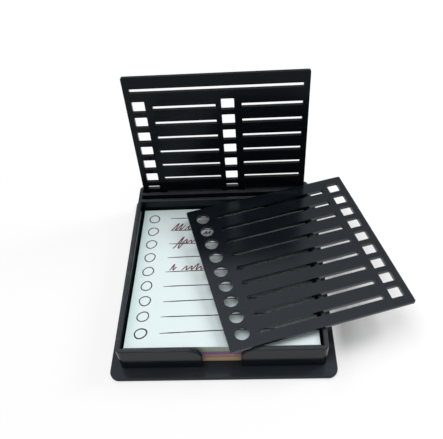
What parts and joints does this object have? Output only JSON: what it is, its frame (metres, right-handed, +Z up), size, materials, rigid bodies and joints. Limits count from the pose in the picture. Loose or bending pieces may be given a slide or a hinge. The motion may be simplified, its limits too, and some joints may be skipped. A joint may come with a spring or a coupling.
{
  "type": "sticky note dispenser",
  "caption": "Black moulded desk tray for a pad of square sticky notes, with a thumb notch and slots at the back for two drawing stencils.",
  "frame": {"origin": "on the table, under the middle of the tray's four walls", "axes": "+X to the user's right, +Y from the thumb notch to the stencil slots, +Z up"},
  "size_m": [0.122, 0.0999, 0.078],
  "materials": {
    "tray_plastic": "satin black moulded",
    "stencil_plastic": "satin black moulded",
    "paper_yellow": "matte cream yellow",
    "paper_peach": "matte peach",
    "paper_pink": "matte pink",
    "paper_lavender": "matte lavender",
    "paper_green": "matte pale green",
    "paper_aqua": "matte pale aqua"
  },
  "bodies": {
    "root": {"tray": "tray_plastic", "standing_stencil": "stencil_plastic", "loose_stencil": "stencil_plastic", "notes_yellow": "paper_yellow", "notes_peach": "paper_peach", "notes_pink": "paper_pink", "notes_lavender": "paper_lavender", "notes_green": "paper_green", "notes_aqua": "paper_aqua"}
  },
  "joints": []
}
